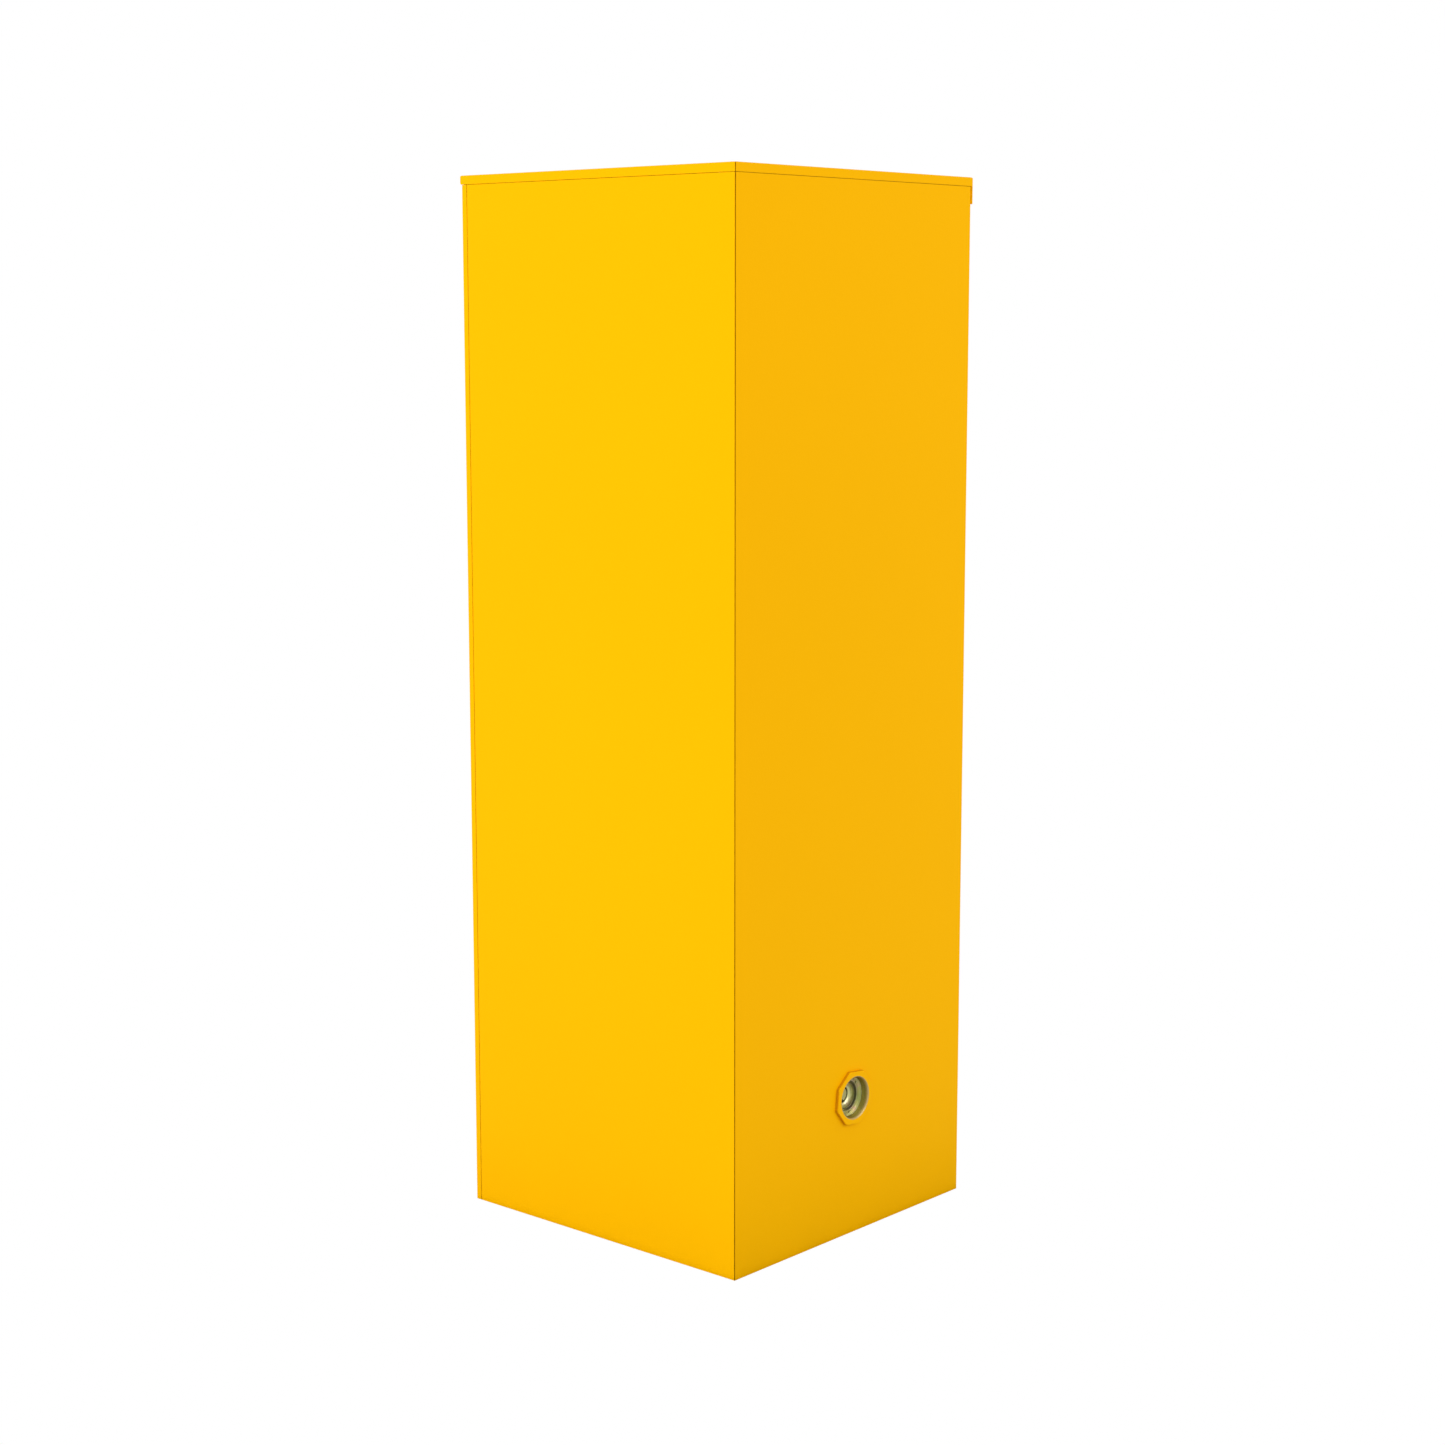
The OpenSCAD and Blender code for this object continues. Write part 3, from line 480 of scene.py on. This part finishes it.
def moulded_rubber():
    """Black rubber with a dusty bloom"""
    finish = Finish("Moulded rubber")
    blotches, grain = finish.mottle(25.0, 1100.0)
    normal, edge = finish.edges(0.0006)
    black = finish.mix(blotches, (0.014, 0.014, 0.014, 1), (0.034, 0.033, 0.032, 1))
    finish.set("Base Color", finish.worn(edge, 0.3, black, (0.09, 0.09, 0.085, 1)))
    finish.set("Roughness", finish.span(grain, 0.62, 0.82))
    finish.relief(grain, 0.00004, normal)
    return finish.material


def weld_metal():
    """Galvanised weld metal, a little brighter and rougher than the sheet"""
    finish = Finish("Galvanised weld")
    blotches, grain = finish.mottle(60.0, 700.0)
    finish.set("Base Color", finish.mix(blotches, (0.44, 0.45, 0.46, 1), (0.64, 0.65, 0.65, 1)))
    finish.set("Metallic", 0.85)
    finish.set("Roughness", finish.span(grain, 0.36, 0.55))
    finish.relief(grain, 0.0001, finish.add("ShaderNodeNewGeometry").outputs["Normal"])
    return finish.material


def paint(names, material):
    for name in names:
        NODES[name].data.materials.clear()
        NODES[name].data.materials.append(material)


# ---- Pieces made by geometry nodes ----

def geometry_tree(name, inputs):
    """A new geometry node tree with a geometry in and out and named inputs, and its Tree, input and output"""
    tree = bpy.data.node_groups.new(name, "GeometryNodeTree")
    tree.is_modifier = True
    tree.interface.new_socket("Geometry", in_out="INPUT", socket_type="NodeSocketGeometry")
    for socket, kind in inputs:
        tree.interface.new_socket(socket, in_out="INPUT", socket_type=kind)
    tree.interface.new_socket("Geometry", in_out="OUTPUT", socket_type="NodeSocketGeometry")
    made = Tree(tree)
    return made, made.add("NodeGroupInput"), made.add("NodeGroupOutput")


def end_tree(tree, given, out, instances):
    """Ends a tree: real geometry with its material"""
    real = tree.add("GeometryNodeRealizeInstances", {"Geometry": instances})
    finished = tree.add("GeometryNodeSetMaterial", {"Geometry": real.outputs[0],
                                                    "Material": given.outputs["Material"]})
    tree.give(out.inputs[0], finished.outputs[0])
    return tree.tree


def bead_tree():
    """Overlapping lens-shaped ripples along every run of edges"""
    tree, given, out = geometry_tree("Weld bead", [
        ("Radius", "NodeSocketFloat"), ("Pitch", "NodeSocketFloat"), ("Seed", "NodeSocketInt"),
        ("Material", "NodeSocketMaterial")])
    run = tree.add("GeometryNodeMeshToCurve", {"Mesh": given.outputs["Geometry"]})
    steps = tree.add("GeometryNodeResampleCurve", {"Curve": run.outputs[0], "Length": given.outputs["Pitch"]},
                     mode="LENGTH")
    along = tree.add("GeometryNodeInputTangent")
    turn = tree.add("FunctionNodeAlignRotationToVector", {"Vector": along.outputs[0]}, axis="Z")
    ripple = tree.add("GeometryNodeMeshUVSphere", {"Segments": 10, "Rings": 6, "Radius": given.outputs["Radius"]})
    flat = tree.add("GeometryNodeTransform", {"Geometry": ripple.outputs[0], "Scale": (1.0, 1.0, 0.62)})
    uneven = tree.add("FunctionNodeRandomValue", {"Seed": given.outputs["Seed"]}, data_type="FLOAT")
    uneven.inputs[2].default_value, uneven.inputs[3].default_value = RIPPLE_SIZES
    placed = tree.add("GeometryNodeInstanceOnPoints", {
        "Points": steps.outputs[0], "Instance": flat.outputs[0], "Rotation": turn.outputs[0],
        "Scale": uneven.outputs[1]})
    smooth = tree.add("GeometryNodeSetShadeSmooth", {"Geometry": placed.outputs[0]})
    return end_tree(tree, given, out, smooth.outputs[0])


def washer_tree():
    """A flat ring at every point, turned to the way that the point faces"""
    tree, given, out = geometry_tree("Washers", [
        ("Outer radius", "NodeSocketFloat"), ("Inner radius", "NodeSocketFloat"), ("Thickness", "NodeSocketFloat"),
        ("Material", "NodeSocketMaterial")])
    outer = given.outputs["Outer radius"]
    inner = given.outputs["Inner radius"]
    middle = tree.math("MULTIPLY", tree.math("ADD", outer, inner), 0.5)
    circle = tree.add("GeometryNodeCurvePrimitiveCircle", {"Resolution": 32, "Radius": middle})
    section = tree.add("GeometryNodeCurvePrimitiveQuadrilateral", {
        "Width": tree.math("SUBTRACT", outer, inner), "Height": given.outputs["Thickness"]})
    ring = tree.add("GeometryNodeCurveToMesh", {"Curve": circle.outputs[0], "Profile Curve": section.outputs[0]})
    facing = tree.add("GeometryNodeInputNamedAttribute", {"Name": "facing"}, data_type="FLOAT_VECTOR")
    turn = tree.add("FunctionNodeAlignRotationToVector", {"Vector": facing.outputs[0]}, axis="Z")
    placed = tree.add("GeometryNodeInstanceOnPoints", {
        "Points": given.outputs["Geometry"], "Instance": ring.outputs[0], "Rotation": turn.outputs[0]})
    return end_tree(tree, given, out, placed.outputs[0])


def grow(name, mesh, tree, inputs, body):
    """Runs a geometry tree on a mesh, and makes the result a plain piece that rides on a body"""
    piece = bpy.data.objects.new(name, mesh)
    bpy.context.scene.collection.objects.link(piece)
    modifier = piece.modifiers.new("Grow", "NODES")
    modifier.node_group = tree
    for item in tree.interface.items_tree:
        if item.item_type == "SOCKET" and item.in_out == "INPUT" and item.name in inputs:
            modifier[item.identifier] = inputs[item.name]
    graph = bpy.context.evaluated_depsgraph_get()
    grown = bpy.data.meshes.new_from_object(piece.evaluated_get(graph), preserve_all_data_layers=True,
                                            depsgraph=graph)
    piece.modifiers.clear()
    piece.data = grown
    grown.name = name
    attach(piece, body)


def line_mesh(name, runs):
    """A mesh of open lines through the points of each run"""
    mesh = bpy.data.meshes.new(name)
    points = [point for run in runs for point in run]
    edges = []
    first = 0
    for run in runs:
        edges += [(i, i + 1) for i in range(first, first + len(run) - 1)]
        first += len(run)
    mesh.from_pydata(points, edges, [])
    return mesh


def square_run(half, z):
    """A closed square at one height"""
    return [(-half, -half, z), (half, -half, z), (half, half, z), (-half, half, z), (-half, -half, z)]


def circle_run(centre, radius):
    """A closed circle round the Y axis"""
    steps = 40
    return [(centre[0] + radius * math.cos(2 * math.pi * i / steps), centre[1],
             centre[2] + radius * math.sin(2 * math.pi * i / steps)) for i in range(steps + 1)]


def box_run(low, high, y):
    """A closed rectangle in a plane across Y"""
    return [(low.x, y, low.z), (high.x, y, low.z), (high.x, y, high.z), (low.x, y, high.z), (low.x, y, low.z)]


def loose_boxes(name):
    """The box of each separate solid of a CAD node, in order of height"""
    copy = bmesh.new()
    copy.from_mesh(NODES[name].data)
    bmesh.ops.remove_doubles(copy, verts=copy.verts, dist=1e-6)
    unseen = set(copy.verts)
    boxes = []
    while unseen:
        stack = [unseen.pop()]
        solid = list(stack)
        while stack:
            for edge in stack.pop().link_edges:
                for vertex in edge.verts:
                    if vertex in unseen:
                        unseen.discard(vertex)
                        stack.append(vertex)
                        solid.append(vertex)
        boxes.append((Vector(min(v.co[i] for v in solid) for i in range(3)),
                      Vector(max(v.co[i] for v in solid) for i in range(3))))
    copy.free()
    return sorted(boxes, key=lambda box: (round(box[0].z, 4), round(box[0].x, 4), round(box[0].y, 4)))


# ---- Operators ----

class BOLLARD_OT_coat_post(bpy.types.Operator):
    """Gives the post, lid and lock collar their yellow powder coat"""
    bl_idname = "bollard.coat_post"
    bl_label = "Coat post"

    def execute(self, context):
        coat = context.scene.bollard_coat
        paint(COATED, powder_coat(coat))
        paint(("lock_collar",), bared_coat(coat))
        return {"FINISHED"}


class BOLLARD_OT_galvanise(bpy.types.Operator):
    """Gives the casing and the inner steelwork their zinc"""
    bl_idname = "bollard.galvanise"
    bl_label = "Galvanise casing"

    def execute(self, context):
        paint(GALVANISED, galvanised(context.scene.bollard_zinc))
        return {"FINISHED"}


class BOLLARD_OT_finish_metal(bpy.types.Operator):
    """Finishes the stainless, plated and chromed pieces"""
    bl_idname = "bollard.finish_metal"
    bl_label = "Finish small metal"

    def execute(self, context):
        paint(STAINLESS, stainless())
        paint(PLATED, plated())
        paint(("piston_rod",), chromed_rod())
        paint(("gas_cylinder",), baked_paint())
        return {"FINISHED"}


class BOLLARD_OT_finish_soft(bpy.types.Operator):
    """Finishes the nylon guides and the rubber"""
    bl_idname = "bollard.finish_soft"
    bl_label = "Finish nylon and rubber"

    def execute(self, context):
        paint(NYLON, cast_nylon())
        paint(RUBBER, moulded_rubber())
        return {"FINISHED"}


class BOLLARD_OT_weld_casing(bpy.types.Operator):
    """Lays the weld beads of the casing"""
    bl_idname = "bollard.weld_casing"
    bl_label = "Weld casing"

    def execute(self, context):
        weld = context.scene.bollard_weld
        sink = weld.radius * 0.35
        corner = HALF_CASING - sink / 2
        foot = BASE_HIGH.z + weld.radius
        head = FRAME_FOOT - weld.radius
        drain_centre = (0, HALF_CASING + sink, (DRAIN_LOW.z + DRAIN_HIGH.z) / 2)
        runs = {
            "weld_base": [square_run(HALF_CASING + sink, BASE_HIGH.z + sink)],
            "weld_frame": [square_run(HALF_CASING + sink, FRAME_FOOT - sink)],
            "weld_corners": [[(side * corner, -side * corner, foot), (side * corner, -side * corner, head)]
                             for side in (1, -1)],
            "weld_keepers": [box_run(low, high, -HALF_CASING - sink) for low, high in loose_boxes("keeper_boxes")],
            "weld_drain": [circle_run(drain_centre, DRAIN_HIGH.x + sink)],
            "weld_lugs": self.lug_runs(sink),
        }
        tree = bead_tree()
        inputs = {"Radius": weld.radius, "Pitch": weld.pitch, "Seed": weld.seed, "Material": weld_metal()}
        for name, lines in runs.items():
            grow(name, line_mesh(name, lines), tree, inputs, "casing")
        return {"FINISHED"}

    def lug_runs(self, sink):
        """One bead down each side of every lug's web"""
        runs = []
        for low, high in loose_boxes("anchor_lugs"):
            x = math.copysign(HALF_CASING + sink, low.x)
            for side in (-1, 1):
                y = side * (HALF_LUG_WEB + sink)
                runs.append([(x, y, low.z + BEAD_END), (x, y, high.z - BEAD_END)])
        return runs


class BOLLARD_OT_add_washers(bpy.types.Operator):
    """Puts a washer round every guide screw's shank, under its head"""
    bl_idname = "bollard.add_washers"
    bl_label = "Add washers"

    def execute(self, context):
        washer = context.scene.bollard_washer
        places = []
        facings = []
        for low, high in loose_boxes("guide_screws"):
            centre = (low + high) / 2
            axis = 0 if abs(centre.x) > abs(centre.y) else 1
            side = math.copysign(1, centre[axis])
            centre[axis] = side * (HALF_CASING + washer.thickness / 2)
            places.append(centre)
            facings.append([side * (i == axis) for i in range(3)])
        mesh = bpy.data.meshes.new("washers")
        mesh.from_pydata(places, [], [])
        facing = mesh.attributes.new("facing", "FLOAT_VECTOR", "POINT")
        facing.data.foreach_set("vector", [part for way in facings for part in way])
        inputs = {"Outer radius": washer.outer, "Inner radius": washer.inner, "Thickness": washer.thickness,
                  "Material": bpy.data.materials["Brushed stainless steel"]}
        grow("guide_washers", mesh, washer_tree(), inputs, "casing")
        return {"FINISHED"}


class BOLLARD_OT_set_stage(bpy.types.Operator):
    """Sets the floor, lights and camera"""
    bl_idname = "bollard.set_stage"
    bl_label = "Set stage"

    def execute(self, context):
        studio = context.scene.bollard_studio
        self.make_floor(studio)
        self.make_ground(studio)
        self.make_world(context.scene, studio)
        self.make_lights(studio)
        self.make_camera(context.scene, studio)
        context.scene.view_settings.view_transform = "Standard"
        return {"FINISHED"}

    def make_floor(self, studio):
        """A round pale floor under the base plate, which fades to white at its rim"""
        radius = studio.floor_radius
        steps = 96
        level = BASE_LOW.z - 0.0005
        rim = [(radius * math.cos(2 * math.pi * i / steps), radius * math.sin(2 * math.pi * i / steps), level)
               for i in range(steps)]
        tree = self.stage_mesh("floor", rim, "Pale floor")
        place = tree.add("ShaderNodeTexCoord").outputs["Object"]
        flat = tree.add("ShaderNodeVectorMath", {0: place, 1: (1, 1, 0)}, operation="MULTIPLY")
        away = tree.add("ShaderNodeVectorMath", {0: flat.outputs[0]}, operation="LENGTH").outputs["Value"]
        fade = tree.add("ShaderNodeMapRange", {"Value": away, "From Min": 0.2, "From Max": radius * 0.96},
                        interpolation_type="SMOOTHSTEP").outputs[0]
        pale = tree.add("ShaderNodeBsdfDiffuse", {"Color": (0.9, 0.9, 0.9, 1)}).outputs[0]
        tree.surface(fade, pale, tree.white_light("ShaderNodeEmission"))

    def make_ground(self, studio):
        """A white card before the camera, seen by it alone, cut along the line where the post leaves the ground"""
        eye, way = self.aim(studio)
        across = way.cross(Vector((0, 0, 1))).normalized()
        down = way.cross(across)
        high = studio.card_height
        far, near = 0.9, -0.5

        def on_card(x, y, z=0.0):
            ray = Vector((x, y, z)) - eye
            return eye + ray * (studio.card_distance / ray.dot(way))

        feet = [(-HALF_POST, HALF_POST - 0.0005), (-HALF_POST, -HALF_POST),
                (HALF_POST - studio.fold_reach, -HALF_POST)]
        half_wide = studio.card_distance * 0.3
        centre = eye + way * studio.card_distance
        outline = [on_card(*feet[0], high), *(on_card(*foot) for foot in feet), on_card(*feet[2], high),
                   on_card(far, near, high), centre + (down + across) * half_wide,
                   centre + (down - across) * half_wide, on_card(near, far, high)]
        tree = self.stage_mesh("ground_card", outline, "White ground")
        clear = tree.add("ShaderNodeBsdfTransparent").outputs[0]
        seen = tree.add("ShaderNodeLightPath").outputs["Is Camera Ray"]
        tree.surface(seen, clear, tree.white_light("ShaderNodeEmission"))

    def stage_mesh(self, name, outline, material_name):
        """A flat stage piece with one face; gives the Tree of its new material"""
        mesh = bpy.data.meshes.new(name)
        mesh.from_pydata([tuple(point) for point in outline], [], [list(range(len(outline)))])
        piece = bpy.data.objects.new(name, mesh)
        bpy.context.scene.collection.objects.link(piece)
        material = bpy.data.materials.new(material_name)
        material.use_nodes = True
        mesh.materials.append(material)
        return Tree(material.node_tree)

    def aim(self, studio):
        """Where the camera is, and the way it looks"""
        level = math.cos(studio.pitch)
        return Vector(studio.camera_at), Vector(
            (math.cos(studio.azimuth) * level, math.sin(studio.azimuth) * level, -math.sin(studio.pitch)))

    def make_world(self, scene, studio):
        """White behind the object, and a softer light from all round"""
        world = bpy.data.worlds.new("Studio")
        world.use_nodes = True
        scene.world = world
        tree = Tree(world.node_tree)
        way = tree.add("ShaderNodeTexCoord").outputs["Generated"]
        height = tree.add("ShaderNodeSeparateXYZ", {0: way}).outputs["Z"]
        strength = tree.span(height, studio.ambient * 0.86, studio.ambient * 1.14, -1.0, 1.0)
        seen = tree.add("ShaderNodeLightPath").outputs["Is Camera Ray"]
        tree.surface(seen, tree.white_light("ShaderNodeBackground", strength),
                     tree.white_light("ShaderNodeBackground"), "World Output")

    def make_lights(self, studio):
        """A large soft light for each seen side, and a weaker one behind"""
        for name, place in LIGHT_PLACES.items():
            data = bpy.data.lights.new(name, "AREA")
            data.energy = getattr(studio, name)
            data.size = studio.light_size
            light = bpy.data.objects.new(name, data)
            bpy.context.scene.collection.objects.link(light)
            light.location = place
            light.rotation_euler = (Vector(LIGHT_TARGET) - Vector(place)).to_track_quat("-Z", "Y").to_euler()

    def make_camera(self, scene, studio):
        data = bpy.data.cameras.new("camera")
        data.lens = studio.lens
        camera = bpy.data.objects.new("camera", data)
        scene.collection.objects.link(camera)
        camera.location, way = self.aim(studio)
        camera.rotation_euler = way.to_track_quat("-Z", "Y").to_euler()
        scene.camera = camera


class BOLLARD_PT_panel(bpy.types.Panel):
    """Lists the bollard's settings and steps"""
    bl_idname = "BOLLARD_PT_panel"
    bl_label = "Retractable bollard"
    bl_space_type = "VIEW_3D"
    bl_region_type = "UI"
    bl_category = "Bollard"

    def draw(self, context):
        for name in SETTINGS:
            group = getattr(context.scene, name)
            for field in group.__annotations__:
                self.layout.prop(group, field)
        for step in STEPS:
            self.layout.operator(step.bl_idname)


SETTINGS = {"bollard_coat": CoatSettings, "bollard_zinc": ZincSettings, "bollard_weld": WeldSettings,
            "bollard_washer": WasherSettings, "bollard_studio": StudioSettings}
STEPS = (BOLLARD_OT_coat_post, BOLLARD_OT_galvanise, BOLLARD_OT_finish_metal, BOLLARD_OT_finish_soft,
         BOLLARD_OT_weld_casing, BOLLARD_OT_add_washers, BOLLARD_OT_set_stage)


def register():
    for kind in (*SETTINGS.values(), *STEPS, BOLLARD_PT_panel):
        bpy.utils.register_class(kind)
    for name, kind in SETTINGS.items():
        setattr(bpy.types.Scene, name, bpy.props.PointerProperty(type=kind))


def unregister():
    for name in SETTINGS:
        delattr(bpy.types.Scene, name)
    for kind in reversed((*SETTINGS.values(), *STEPS, BOLLARD_PT_panel)):
        bpy.utils.unregister_class(kind)


def run_step(step):
    group, name = step.bl_idname.split(".")
    if getattr(getattr(bpy.ops, group), name)() != {"FINISHED"}:
        raise RuntimeError(f"{step.bl_label} did not finish")


def main():
    register()
    for step in STEPS:
        run_step(step)


if __name__ == "__main__":
    main()
